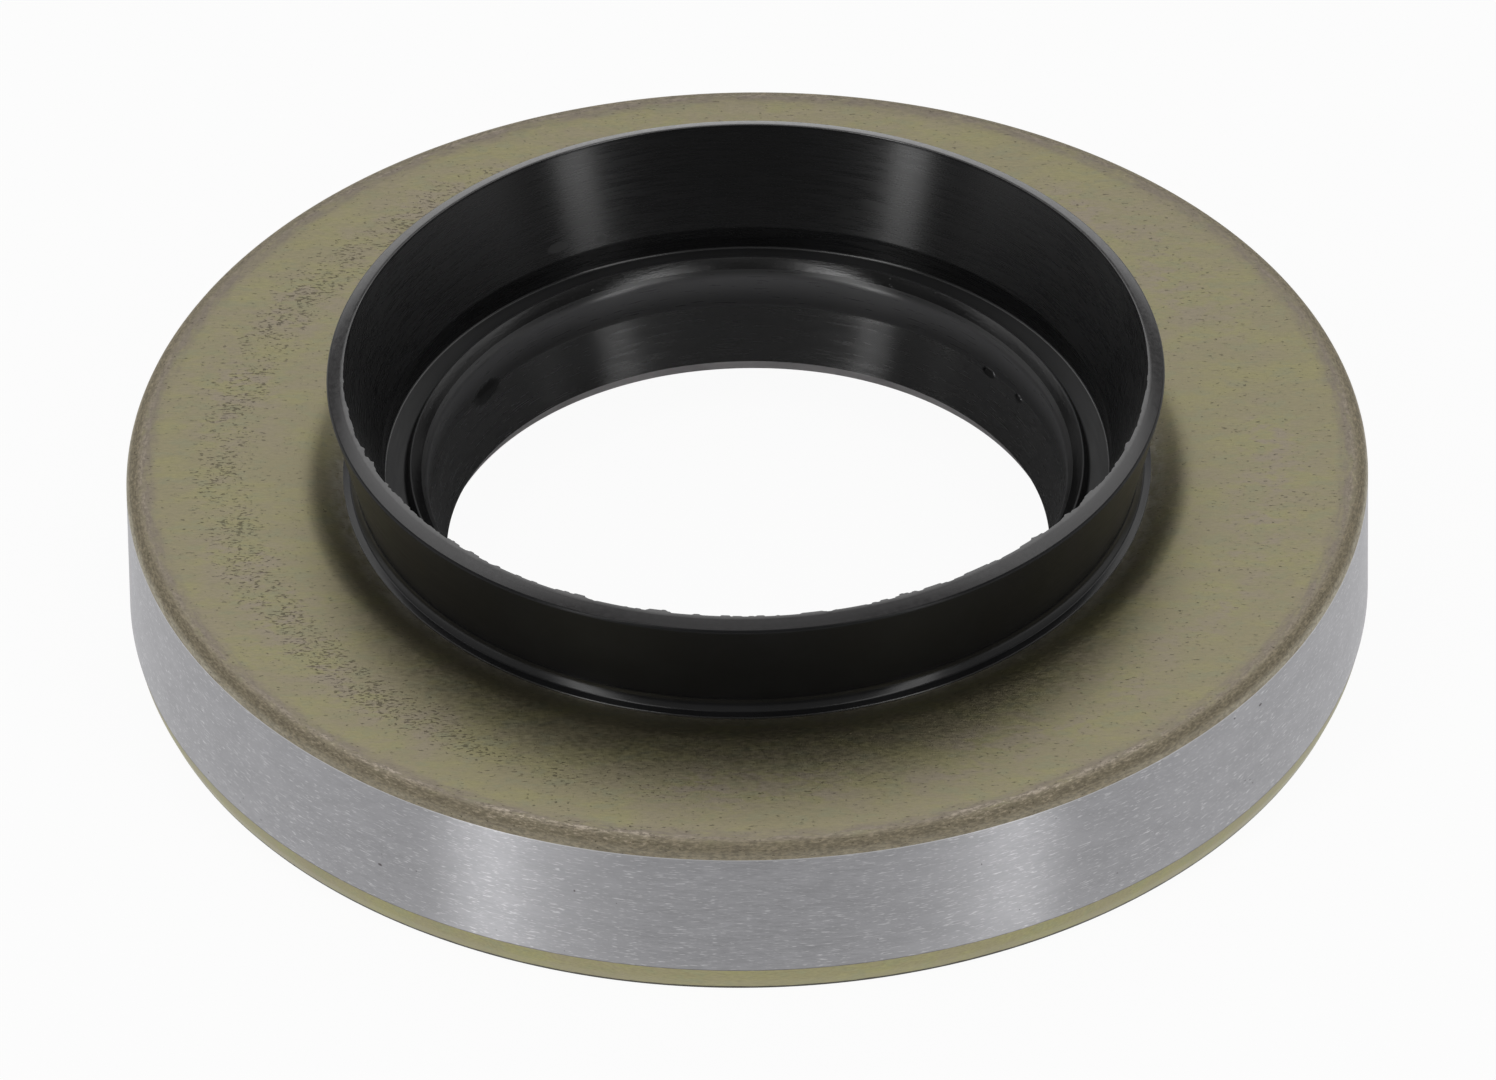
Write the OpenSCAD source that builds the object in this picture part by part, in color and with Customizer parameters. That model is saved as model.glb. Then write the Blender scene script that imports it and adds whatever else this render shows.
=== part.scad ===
// Radial shaft seal with a tall flared outer collar, as used round a pinion shaft.
// A pressed steel case carries one moulded rubber element, and a garter spring
// sits in the groove behind its main lip. The oil side faces down, the air side up.
// The origin lies on the axis, in the plane of the lower edge of the case.

/* [Seal] */
// Diameter of the shaft that the seal runs on
shaft_d = 38; // [36:0.5:38]
// Outside diameter of the case, ground to size
case_d = 74; // [70:0.5:90]
// Height of the case
case_h = 11; // [10.5:0.1:14]
// Height of the whole seal, with the collar
total_h = 18; // [16:0.1:24]

/* [Steel case] */
// Thickness of the steel sheet
sheet_t = 1.2; // [0.8:0.05:1.4]
// Outside radius of the bend between wall and flange
corner_r = 0.9; // [0.6:0.05:1.5]
// Height of the drawn-in edge at the foot of the wall
lead_h = 1.8; // [1.2:0.1:2.5]
// Distance that the drawn-in edge steps inwards
lead_inset = 0.6; // [0.4:0.05:1]
// Radius of the bulge of the drawn-in edge
lead_bend_r = 1.5; // [0.8:0.1:3]
// Rounding of the sheared lower edge
edge_r = 0.12; // [0.05:0.01:0.3]
// Inside radius of the bend between wall and flange
bend_in_r = 0.4; // [0.2:0.05:1]
// Diameter of the hole in the flange
flange_bore_d = 44.8; // [44.4:0.1:45.4]
// Radius at which the flange starts to dip towards its hole
dip_start_r = 26.2; // [25.9:0.1:28]
// Angle of the dipped margin of the flange
dip_angle = 16; // [8:1:20]
// Bend radius between the flat of the flange and its dipped margin
dip_bend_r = 5; // [3:0.5:6]

/* [Collar] */
// Inside diameter of the collar at its rim
rim_bore_d = 47.9; // [46:0.1:52]
// Width of the end face of the rim
rim_w = 1; // [0.7:0.05:1.4]
// Fall of the end face of the rim, from its inner to its outer edge
rim_fall = 0.45; // [0:0.05:0.8]
// Diameter of the foot, where rubber meets the flange
foot_d = 48.2; // [47.8:0.1:49]
// Height of the foot above the flange at its edge
foot_h = 0.12; // [0.05:0.01:0.3]
// Diameter of the neck, just above the foot
neck_d = 46.6; // [46:0.1:47]
// Diameter of the short straight throat inside the collar
throat_d = 43.4; // [43:0.1:44]
// Height of the upper end of the throat above the top of the case
throat_rise = 0.95; // [0.6:0.05:1.5]
// Depth of the ledge inside the collar below the top of the case
ledge_drop = 0.55; // [0.3:0.05:0.9]
// Radius of the hollow between neck and foot
neck_round = 1.2; // [0.6:0.1:2]
// Rounding of the outer edge of the rim
rim_round = 0.2; // [0.1:0.05:0.4]
// Radius of the hollow between throat and ledge
ledge_round = 0.5; // [0.3:0.05:0.8]

/* [Dust lip] */
// Gap between the shaft and the dust lip, on the radius
dust_gap = 0.05; // [0:0.05:0.3]
// Diameter of the crest of the dust lip
crest_d = 39.3; // [38.9:0.05:39.6]
// Height of the crest above the top of the case
crest_rise = 0.3; // [0:0.05:0.6]
// Height of the bevelled face inside the crest
crest_bevel_h = 1; // [0.6:0.05:1.3]
// Length of the straight land below the bevelled face
land_h = 2.1; // [1.6:0.1:2.4]
// Width of the dust lip at its root
root_w = 1; // [0.8:0.05:1.2]
// Rounding of the crest
crest_round = 0.12; // [0.05:0.01:0.2]
// Radius of the bend between the land and the face of the main lip
land_round = 0.6; // [0.3:0.1:1]

/* [Main lip] */
// Interference of the free main lip on the shaft, on the diameter
lip_squeeze = 2; // [1.2:0.1:2.4]
// Height of the sealing edge above the lower edge of the case
lip_z = 4.6; // [4.4:0.1:5]
// Height of the trimmed bevel below the sealing edge
bevel_h = 0.8; // [0.4:0.05:0.9]
// Width of the trimmed bevel
bevel_w = 0.38; // [0.25:0.01:0.5]
// Height of the lip head above the lower edge of the case
head_z = 3.2; // [3:0.1:3.5]
// Width of the slanted end of the lip head, from the bevel to its flat
head_in_w = 0.75; // [0.6:0.05:0.9]
// Rounding of the corners of the lip head
head_round = 0.3; // [0.1:0.05:0.4]
// Thickness of the flexing waist between flange and lip head
waist_t = 1.2; // [1:0.05:1.4]
// Thickness of the rubber under the flange
lining_t = 0.9; // [0.6:0.05:1.2]
// Diameter of the rubber under the flange
lining_d = 56; // [55:0.5:60]

/* [Garter spring] */
// Outside diameter of the coil
coil_d = 2.2; // [1.9:0.05:2.3]
// Diameter of the spring wire
wire_d = 0.45; // [0.35:0.05:0.5]
// Number of turns
spring_turns = 200; // [120:10:240]
// Rubber between the sealing edge and the spring
spring_back = 1.3; // [1.1:0.05:1.5]
// Height of the spring above the sealing edge
spring_rise = 0.5; // [0.3:0.05:0.7]
// Clearance round the coil in its groove
spring_gap = 0.05; // [0.02:0.01:0.1]

/* [Hidden] */

$fn = 180;
arc_steps = 6;
// A half step over makes the corners of neighbouring turns interleave
coil_steps = 6.5;
wire_sides = 4;

shaft_r = shaft_d / 2;
case_r = case_d / 2;
wall_r = case_r - sheet_t;
// Share of the inset that the drawn-in edge has taken at half its height
belly_share = 0.36;
lead_belly = belly_share * lead_inset;

// Flange: flat outside dip_start_r, then a straight margin that dips to the hole.
flange_bore_r = flange_bore_d / 2;
under_z = case_h - sheet_t;
dip_under_r = dip_start_r + sheet_t * tan(dip_angle / 2);
function flange_top(r) = case_h - (dip_start_r - r) * tan(dip_angle);
function flange_under(r) = under_z - (dip_under_r - r) * tan(dip_angle);

// Collar
rim_r = rim_bore_d / 2;
foot_r = foot_d / 2;
neck_r = neck_d / 2;
throat_r = throat_d / 2;
throat_z = case_h + throat_rise;
throat_taper = 0.05;
throat_round = 0.4;
ledge_z = case_h - ledge_drop;
ledge_fall = 0.2;
root_round = 0.3;
foot_z = flange_top(foot_r) + foot_h;
foot_top_w = 0.45;
foot_top_h = 0.1;
foot_top_round = 0.2;
foot_edge_round = 0.08;
neck_h = 0.5;
rim_edge_round = 0.04;

// Dust lip
dust_r = shaft_r + dust_gap;
crest_r = crest_d / 2;
crest_z = case_h + crest_rise;
bevel_z = crest_z - crest_bevel_h;
land_z = bevel_z - land_h;
bevel_round = 0.15;

// Main lip
lip_r = shaft_r - lip_squeeze / 2;
head_in_r = lip_r + bevel_w + head_in_w;
heel_round = 0.08;
funnel_slope = (dust_r - lip_r) / (land_z - lip_z);

// Spring and its groove
coil_r = coil_d / 2;
groove_r = coil_r + spring_gap;
spring_z = lip_z + spring_rise;
spring_ring_r = lip_r + spring_back + groove_r;
groove_low = 310;
groove_high = 70;
groove_steps = 2 * arc_steps;
groove_edge_w = 0.12;
groove_edge_h = 0.05;
groove_top_h = 0.2;
groove_top_round = 0.1;
shoulder_t = 0.35;
head_out_r = spring_ring_r + groove_r * cos(groove_low);
waist_z = spring_z + groove_r + shoulder_t;
waist_r = lip_r + (waist_z - lip_z) * funnel_slope + waist_t;
lining_r = lining_d / 2;
lining_z = under_z - lining_t;
lining_edge_w = 0.5;
lining_edge_round = 0.3;
lining_bend_r = 3;
waist_lean = 0.35;
waist_round = 0.4;
waist_bend_r = 2;
waist_top_r = waist_r + waist_lean;
waist_top_z = flange_under(flange_bore_r) - lining_t;

// Largest share of an edge that one rounding may take
edge_share = 0.48;

function unit(v) = v / norm(v);

// Points of the arc that rounds corner b of the path a, b, c. The radius gives way
// where the neighbouring edges are too short for it.
function fillet(a, b, c, radius) =
    let (u = unit(a - b),
         v = unit(c - b),
         half = acos(max(-1, min(1, u * v))) / 2,
         reach = min(radius / tan(half), edge_share * norm(a - b), edge_share * norm(c - b)),
         r = reach * tan(half),
         centre = b + unit(u + v) * r / sin(half),
         start = b + u * reach - centre,
         end = b + v * reach - centre,
         turn = acos(max(-1, min(1, unit(start) * unit(end)))),
         side = sign(start[0] * end[1] - start[1] * end[0]),
         from = atan2(start[1], start[0]))
    [for (i = [0 : arc_steps])
        let (angle = from + side * turn * i / arc_steps)
        centre + r * [cos(angle), sin(angle)]];

// Closed outline from corners given as [r, z, fillet radius].
function rounded(corners) =
    let (n = len(corners))
    [for (i = [0 : n - 1])
        let (before = corners[(i + n - 1) % n],
             here = corners[i],
             after = corners[(i + 1) % n],
             b = [here[0], here[1]])
        each here[2] > 0
            ? fillet([before[0], before[1]], b, [after[0], after[1]], here[2])
            : [b]];

// Underside bend of the flange margin, shared by the case and the rubber below it.
bend_under = fillet([flange_bore_r, flange_under(flange_bore_r)], [dip_under_r, under_z],
                    [wall_r, under_z], dip_bend_r - sheet_t);

// Pressed steel: a ground wall with a drawn-in lower edge, and an inward flange.
module outer_case() {
    color([0.54, 0.52, 0.42])
    rotate_extrude()
    polygon(rounded([
        [case_r, lead_h, 0],
        [case_r, case_h, corner_r],
        [dip_start_r, case_h, dip_bend_r],
        [flange_bore_r, flange_top(flange_bore_r), 0],
        [flange_bore_r, flange_under(flange_bore_r), 0],
        [dip_under_r, under_z, dip_bend_r - sheet_t],
        [wall_r, under_z, bend_in_r],
        [wall_r, lead_h, 0],
        [wall_r - lead_belly, lead_h / 2, lead_bend_r],
        [wall_r - lead_inset, 0, edge_r],
        [case_r - lead_inset, 0, edge_r],
        [case_r - lead_belly, lead_h / 2, lead_bend_r]
    ]));
}

// One moulding: collar, dust lip, main lip, waist and the lining under the flange.
module rubber_element() {
    air_side = [
        [foot_r, foot_z, foot_edge_round],
        [foot_r - foot_top_w, foot_z + foot_top_h, foot_top_round],
        [neck_r, foot_z + foot_top_h + neck_h, neck_round],
        [rim_r + rim_w, total_h - rim_fall, rim_round],
        [rim_r, total_h, rim_edge_round],
        [throat_r, throat_z, throat_round],
        [throat_r - throat_taper, ledge_z, ledge_round],
        [dust_r + root_w, ledge_z - ledge_fall, root_round],
        [crest_r, crest_z, crest_round],
        [dust_r, bevel_z, bevel_round],
        [dust_r, land_z, land_round]
    ];
    lip_side = [
        [lip_r, lip_z, 0],
        [lip_r + bevel_w, lip_z - bevel_h, heel_round],
        [head_in_r, head_z, head_round],
        [head_out_r, head_z, head_round],
        [head_out_r + groove_edge_w, spring_z + groove_r * sin(groove_low) + groove_edge_h, 0]
    ];
    groove = [for (i = [0 : groove_steps])
        let (angle = groove_low + (groove_high - groove_low) * i / groove_steps)
        [spring_ring_r + groove_r * cos(angle), spring_z + groove_r * sin(angle), 0]];
    back_side = [
        [spring_ring_r + groove_r * cos(groove_high), spring_z + groove_r + groove_top_h,
         groove_top_round],
        [waist_r, waist_z, waist_round],
        [waist_top_r, waist_top_z, waist_round],
        [flange_bore_r, waist_top_z, waist_bend_r],
        [dip_under_r, lining_z, lining_bend_r],
        [lining_r - lining_edge_w, lining_z, lining_edge_round]
    ];
    color([0.1, 0.1, 0.11])
    rotate_extrude()
    polygon(concat(
        rounded(concat(
            [[flange_bore_r, flange_top(flange_bore_r), 0],
             [foot_r, flange_top(foot_r), 0]],
            air_side,
            lip_side,
            groove,
            back_side,
            [[lining_r, under_z, 0]]
        )),
        [for (i = [arc_steps : -1 : 0]) bend_under[i]],
        [[flange_bore_r, flange_under(flange_bore_r)]]
    ));
}

// Coiled wire bent into a ring and joined end to end, its turns a little stretched.
module garter_spring() {
    wire_r = wire_d / 2;
    turn_r = coil_r - wire_r;
    rings = spring_turns * coil_steps;
    function spine(i) =
        let (round = 360 * i / rings,
             coil = 360 * i / coil_steps,
             r = spring_ring_r + turn_r * cos(coil))
        [r * cos(round), r * sin(round), spring_z + turn_r * sin(coil)];
    points = [for (i = [0 : rings - 1])
        let (here = spine(i),
             along = unit(spine(i + 1) - spine(i - 1)),
             round = 360 * i / rings,
             coil = 360 * i / coil_steps,
             out = [cos(coil) * cos(round), cos(coil) * sin(round), sin(coil)],
             outward = unit(out - along * (out * along)),
             across = cross(along, outward))
        for (k = [0 : wire_sides - 1])
            let (side = 360 * k / wire_sides)
            here + wire_r * (outward * cos(side) + across * sin(side))];
    faces = [for (i = [0 : rings - 1])
        let (next = (i + 1) % rings)
        for (k = [0 : wire_sides - 1])
            let (turn = (k + 1) % wire_sides)
            each [[i * wire_sides + k, i * wire_sides + turn, next * wire_sides + turn],
                  [i * wire_sides + k, next * wire_sides + turn, next * wire_sides + k]]];
    color([0.7, 0.7, 0.72])
    polyhedron(points, faces);
}

outer_case();
rubber_element();
garter_spring();
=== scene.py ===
"""Radial shaft seal, dressed for rendering.

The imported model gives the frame. Each of its three pieces, the steel case, the rubber
element and the garter spring, is rebuilt here with finer rounds, its trimmed edge and
its finish, and stands for the solid of the same name.
"""
import logging
import math
from dataclasses import dataclass, replace
from enum import Enum
from typing import Callable, Optional

import bpy
from mathutils import Matrix, Vector, noise


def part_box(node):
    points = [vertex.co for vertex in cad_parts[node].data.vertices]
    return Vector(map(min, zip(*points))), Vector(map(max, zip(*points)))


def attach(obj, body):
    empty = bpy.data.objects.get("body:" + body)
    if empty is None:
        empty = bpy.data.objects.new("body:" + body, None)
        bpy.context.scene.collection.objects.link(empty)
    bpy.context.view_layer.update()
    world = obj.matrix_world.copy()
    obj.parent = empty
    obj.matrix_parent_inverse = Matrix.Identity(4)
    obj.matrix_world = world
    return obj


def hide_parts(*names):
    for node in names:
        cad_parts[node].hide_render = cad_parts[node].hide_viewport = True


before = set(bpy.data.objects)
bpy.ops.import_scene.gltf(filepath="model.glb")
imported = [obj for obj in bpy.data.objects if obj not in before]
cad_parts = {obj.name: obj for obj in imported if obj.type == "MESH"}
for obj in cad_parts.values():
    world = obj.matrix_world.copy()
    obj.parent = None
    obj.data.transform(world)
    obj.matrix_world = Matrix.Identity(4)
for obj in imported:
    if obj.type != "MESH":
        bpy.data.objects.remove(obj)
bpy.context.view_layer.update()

MM = 0.001
BODY = "root"
FILLET_SHARE = 0.48
CASE_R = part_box("outer_case")[1][0] / MM

Socket = bpy.types.NodeSocket
Colour = tuple[float, float, float]
Place = tuple[float, float, float]

log = logging.getLogger("shaft_seal")


class Slot(Enum):
    """Names of the material slots of the three pieces; the script does not assign them."""

    STEEL = "coated_steel"
    RUBBER = "black_rubber"
    SPRING = "spring_steel"


class Skin(Enum):
    """Which finish a face of a revolved piece wears."""

    OLIVE = 0
    GROUND = 1
    MOULDED = 2
    FUNNEL = 3
    CREST = 4
    TRIMMED = 5
    BEVEL = 6
    OUTSIDE = 7
    LAND = 8
    FOOT = 9


def put(name: str, data: bpy.types.ID) -> bpy.types.Object:
    """Makes an object of some data and links it to the scene.

    Args:
        name: Name of the new object.
        data: Its mesh, lamp or camera.

    Returns:
        The object.
    """
    thing = bpy.data.objects.new(name, data)
    bpy.context.scene.collection.objects.link(thing)
    return thing


@dataclass(frozen=True)
class Corner:
    """One corner of a revolved outline, in millimetres.

    Args:
        r: Distance from the axis.
        z: Height above the lower edge of the case.
        fillet: Radius that rounds the corner, or 0 for a sharp one.
        steps: Number of steps of the rounding arc.
        skin: Finish of the outline from this corner to the next.
    """

    r: float
    z: float
    fillet: float = 0.0
    steps: int = 6
    skin: Skin = Skin.OLIVE


@dataclass(frozen=True)
class OutlinePoint:
    """A point of a finished outline, with the skin of the edge that follows it."""

    r: float
    z: float
    skin: Skin


def rounded_outline(corners: list[Corner]) -> list[OutlinePoint]:
    """Rounds the corners of a closed outline, over at most FILLET_SHARE of each edge.

    Args:
        corners: The corners in order round the outline.

    Returns:
        The points of the outline, with an arc in place of each rounded corner.
    """
    points: list[OutlinePoint] = []
    count = len(corners)
    for index, corner in enumerate(corners):
        here = Vector((corner.r, corner.z))
        before = corners[index - 1]
        after = corners[(index + 1) % count]
        if corner.fillet <= 0:
            points.append(OutlinePoint(here.x, here.y, corner.skin))
            continue
        to_before = Vector((before.r, before.z)) - here
        to_after = Vector((after.r, after.z)) - here
        u = to_before.normalized()
        v = to_after.normalized()
        half = math.acos(max(-1.0, min(1.0, u.dot(v)))) / 2
        room = FILLET_SHARE * min(to_before.length, to_after.length)
        reach = min(corner.fillet / math.tan(half), room)
        radius = reach * math.tan(half)
        centre = here + (u + v).normalized() * radius / math.sin(half)
        start = here + u * reach - centre
        end = here + v * reach - centre
        turn = math.acos(max(-1.0, min(1.0, start.normalized().dot(end.normalized()))))
        side = 1.0 if start.x * end.y - start.y * end.x > 0 else -1.0
        first = math.atan2(start.y, start.x)
        for step in range(corner.steps + 1):
            angle = first + side * turn * step / corner.steps
            skin = corner.skin if step == corner.steps else before.skin
            points.append(OutlinePoint(
                centre.x + radius * math.cos(angle), centre.y + radius * math.sin(angle), skin))
    return points


def divided(points: list[OutlinePoint], longest: float) -> list[OutlinePoint]:
    """Splits the long edges of a closed outline.

    Args:
        points: The outline.
        longest: Longest edge that may stay, in millimetres.

    Returns:
        The outline with extra points on its long edges.
    """
    result: list[OutlinePoint] = []
    for index, point in enumerate(points):
        after = points[(index + 1) % len(points)]
        length = math.hypot(after.r - point.r, after.z - point.z)
        pieces = max(1, math.ceil(length / longest))
        for step in range(pieces):
            t = step / pieces
            result.append(OutlinePoint(
                point.r + (after.r - point.r) * t, point.z + (after.z - point.z) * t, point.skin))
    return result


def revolve(
    name: str,
    outline: list[OutlinePoint],
    segments: int,
    skins: list[Skin],
    finer: int = 1,
    fine_row: Optional[Callable[[float, float], bool]] = None,
    wander: Optional[Callable[[float, float, float], tuple[float, float]]] = None,
    crease_deg: float = 32.0,
) -> bpy.types.Object:
    """Turns a closed outline round the Z axis into a closed mesh.

    Args:
        name: Name of the new object.
        outline: Points in millimetres, anticlockwise in the r, z plane.
        segments: Number of steps round the axis.
        skins: Order of the skins in the object's material slots.
        finer: How many times more steps a fine row has.
        fine_row: Says whether the point r, z of the outline gets the finer steps.
        wander: Gives the shift in r and z, in millimetres, of the point r, z at an angle.
        crease_deg: Edges sharper than this are shaded as creases.

    Returns:
        The object, linked to the scene, at the origin.
    """
    verts: list[Place] = []
    first: list[int] = []
    steps: list[int] = []
    for point in outline:
        fine = fine_row is not None and fine_row(point.r, point.z)
        first.append(len(verts))
        steps.append(finer if fine else 1)
        for step in range(segments * steps[-1]):
            angle = 2 * math.pi * step / (segments * steps[-1])
            dr, dz = wander(point.r, point.z, angle) if wander and fine else (0.0, 0.0)
            r = (point.r + dr) * MM
            verts.append((r * math.cos(angle), r * math.sin(angle), (point.z + dz) * MM))

    def run(row: int, segment: int, parts: int) -> list[int]:
        """Lists the vertices of a row along one face of the rings beside it.

        Args:
            row: Number of the outline's point.
            segment: Number of the face along the ring.
            parts: How many faces the ring has in each plain step.

        Returns:
            Numbers of the vertices.
        """
        count = segments * steps[row]
        start = segment * steps[row] // parts
        return [first[row] + (start + k) % count for k in range(steps[row] // parts + 1)]

    faces: list[list[int]] = []
    face_skin: list[int] = []
    for row, point in enumerate(outline):
        row_next = (row + 1) % len(outline)
        parts = min(steps[row], steps[row_next])
        for segment in range(segments * parts):
            faces.append(run(row, segment, parts) + run(row_next, segment, parts)[::-1])
            face_skin.append(skins.index(point.skin))
    mesh = bpy.data.meshes.new(name)
    mesh.from_pydata(verts, [], faces)
    mesh.polygons.foreach_set("material_index", face_skin)
    mesh.polygons.foreach_set("use_smooth", [True] * len(faces))
    mesh.set_sharp_from_angle(angle=math.radians(crease_deg))
    mesh.update()
    return put(name, mesh)


class NodeSheet:
    """Short calls that add nodes to a tree and feed their sockets."""

    def __init__(self, tree: bpy.types.NodeTree) -> None:
        """Takes a tree and empties it."""
        self.tree = tree
        tree.nodes.clear()

    def feed(self, socket: Socket, value: object) -> None:
        """Links an output to the socket, or sets the socket to a constant.

        Args:
            socket: The input to feed.
            value: An output or a constant.
        """
        if isinstance(value, Socket):
            self.tree.links.new(value, socket)
        else:
            socket.default_value = value

    def add(self, kind: str, inputs: Optional[dict] = None, **options: object) -> bpy.types.Node:
        """Adds a node.

        Args:
            kind: Type of the node.
            inputs: What goes into its sockets, by their names or numbers.
            options: Its own settings.

        Returns:
            The node.
        """
        node = self.tree.nodes.new(kind)
        for option, value in options.items():
            setattr(node, option, value)
        for key, value in (inputs or {}).items():
            self.feed(node.inputs[key], value)
        return node

    def math(self, operation: str, a: object, b: object = 0.5, clamp: bool = False) -> Socket:
        """Adds a Math node and returns its result."""
        return self.add("ShaderNodeMath", {0: a, 1: b}, operation=operation, use_clamp=clamp).outputs[0]

    def product(self, *values: object) -> Socket:
        """Multiplies values.

        Args:
            values: Outputs or constants.

        Returns:
            Their product.
        """
        total = values[0]
        for value in values[1:]:
            total = self.math("MULTIPLY", total, value)
        return total

    def most(self, *values: object) -> Socket:
        """Finds the largest of several values.

        Args:
            values: Outputs or constants.

        Returns:
            The largest.
        """
        largest = values[0]
        for value in values[1:]:
            largest = self.math("MAXIMUM", largest, value)
        return largest

    def ramp(self, value: object, low: object, high: object, out_low: object = 0.0,
             out_high: object = 1.0, smooth: bool = True) -> Socket:
        """Maps a value from low..high onto out_low..out_high, clamped.

        Args:
            value: The value to map.
            low: Where the ramp starts.
            high: Where it ends.
            out_low: Result at the start and before it.
            out_high: Result at the end and beyond it.
            smooth: Whether the ramp eases in and out.

        Returns:
            The mapped value.
        """
        values = dict(enumerate((value, low, high, out_low, out_high)))
        kind = "SMOOTHSTEP" if smooth else "LINEAR"
        return self.add("ShaderNodeMapRange", values, interpolation_type=kind).outputs[0]

    def by_ray(self, lit: Socket, gloss: Socket, seen: Socket) -> Socket:
        """Chooses a shader by the kind of ray.

        Args:
            lit: Shader that lights the seal.
            gloss: Shader that glossy rays meet.
            seen: Shader that the camera meets, also through something clear.

        Returns:
            The chosen shader.
        """
        rays = self.add("ShaderNodeLightPath").outputs
        chosen = lit
        for ray, shader in (("Is Glossy Ray", gloss), ("Is Transmission Ray", seen), ("Is Camera Ray", seen)):
            chosen = self.add("ShaderNodeMixShader", {0: rays[ray], 1: chosen, 2: shader}).outputs[0]
        return chosen


class NodeSketch(NodeSheet):
    """A new material with a Principled shader, on coordinates in millimetres."""

    def __init__(self, name: str) -> None:
        """Makes the material and its coordinates.

        Args:
            name: Name of the new material.
        """
        self.material = bpy.data.materials.new(name)
        self.material.use_nodes = True
        super().__init__(self.material.node_tree)
        self.shader = self.add("ShaderNodeBsdfPrincipled")
        self.add("ShaderNodeOutputMaterial", {"Surface": self.shader.outputs["BSDF"]})
        coordinates = self.add("ShaderNodeTexCoord")
        self.place = self.vector("SCALE", coordinates.outputs["Object"], scale=1 / MM)
        self.flat = self.vector("MULTIPLY", self.place, (1, 1, 0))
        self.radius = self.vector("LENGTH", self.flat)
        self.x, self.y, self.z = self.add("ShaderNodeSeparateXYZ", {0: self.place}).outputs

    def vector(self, operation: str, a: object, b: object = (0, 0, 0), scale: float = 1.0) -> Socket:
        """Adds a Vector Math node.

        Args:
            operation: What the node does.
            a: First vector.
            b: Second vector, where the operation has one.
            scale: Factor of a SCALE operation.

        Returns:
            The vector, or the number that LENGTH gives.
        """
        second = {"Scale": scale} if operation == "SCALE" else {1: b}
        node = self.add("ShaderNodeVectorMath", {0: a, **second}, operation=operation)
        return node.outputs["Value" if operation == "LENGTH" else "Vector"]

    def stretched(self, x: float, y: float, z: float) -> Socket:
        """Returns the coordinates multiplied by x, y and z, in steps per millimetre."""
        return self.vector("MULTIPLY", self.place, (x, y, z))

    def around(self, along: float, up: float, across: float = 0.0) -> Socket:
        """Returns coordinates that follow the circumference, without a seam.

        Args:
            along: Steps per millimetre along the outside of the case.
            up: Steps per millimetre of height.
            across: Steps per millimetre of radius.

        Returns:
            The coordinates.
        """
        ring = self.vector("SCALE", self.vector("NORMALIZE", self.flat), scale=along * CASE_R)
        lift = self.math("ADD", self.product(self.z, up), self.product(self.radius, across))
        return self.vector("ADD", ring, self.add("ShaderNodeCombineXYZ", {2: lift}).outputs[0])

    def band(self, value: object, middle: float, half: float, soft: float) -> Socket:
        """Returns 1 within half of the middle, falling to 0 over the soft width beyond."""
        gap = self.math("ABSOLUTE", self.math("SUBTRACT", value, middle))
        return self.ramp(gap, half + soft, half)

    def strayed(self, value: object, pattern: Socket, reach: float) -> Socket:
        """Moves a value up and down by a pattern, over the whole reach."""
        return self.math("ADD", value, self.product(self.math("SUBTRACT", pattern, 0.5), reach))

    def noise(self, at: object, scale: float = 1.0, detail: float = 3.0,
              rough: float = 0.6, seed: float = 0.0) -> Socket:
        """Adds a Noise texture.

        Args:
            at: Coordinates that the pattern follows.
            scale: Its steps for each step of the coordinates.
            detail: Number of finer layers.
            rough: Strength of each layer beside the one before.
            seed: Shift that tells one pattern from another.

        Returns:
            The pattern's value, from 0 to 1.
        """
        shifted = self.vector("ADD", at, (seed, seed * 0.7, seed * 1.3))
        return self.add("ShaderNodeTexNoise", {"Scale": scale, "Detail": detail, "Roughness": rough,
                                               "Vector": shifted}).outputs[0]

    def cells(self, at: object) -> tuple[Socket, Socket]:
        """Adds a Voronoi texture.

        Args:
            at: Coordinates that the cells follow.

        Returns:
            The distance from the middle of a cell, and a random value of each cell.
        """
        node = self.add("ShaderNodeTexVoronoi", {"Scale": 1.0, "Vector": at})
        chance = self.add("ShaderNodeSeparateColor", {0: node.outputs["Color"]}).outputs[0]
        return node.outputs["Distance"], chance

    def mix(self, share: object, a: object, b: object, mode: str = "MIX") -> Socket:
        """Mixes two colours by a share."""
        a, b = ((*value, 1.0) if isinstance(value, tuple) else value for value in (a, b))
        return self.add("ShaderNodeMix", {0: share, 6: a, 7: b}, data_type="RGBA", blend_type=mode).outputs[2]

    def shaded(self, colour: object, value: Socket) -> Socket:
        """Multiplies a colour by a value."""
        grey = self.add("ShaderNodeCombineColor", {0: value, 1: value, 2: value}).outputs[0]
        return self.mix(1.0, colour, grey, mode="MULTIPLY")

    def spot(self, azimuth_deg: float, r: float, z: float, wide: float, high: float, ragged: float) -> Socket:
        """Returns a mask that is 1 at a place on the seal and 0 outside an oval round it.

        Args:
            azimuth_deg: Azimuth of the place, anticlockwise from +X.
            r: Its distance from the axis, in millimetres.
            z: Its height, in millimetres.
            wide: Half width of the oval along the circle.
            high: Half height of the oval.
            ragged: How far noise frays the outline.

        Returns:
            The mask.
        """
        angle = math.radians(azimuth_deg)
        offset = self.vector("SUBTRACT", self.place, (r * math.cos(angle), r * math.sin(angle), z))
        turn = self.add("ShaderNodeVectorRotate", {"Angle": -angle, "Vector": offset},
                        rotation_type="Z_AXIS")
        oval = self.vector("MULTIPLY", turn.outputs[0], (1 / wide, 1 / wide, 1 / high))
        fray = self.noise(self.place, scale=2.2, detail=2.0, rough=0.55, seed=azimuth_deg)
        distance = self.math("ADD", self.vector("LENGTH", oval), self.product(fray, ragged))
        return self.ramp(distance, 1.0, 0.55)

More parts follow.
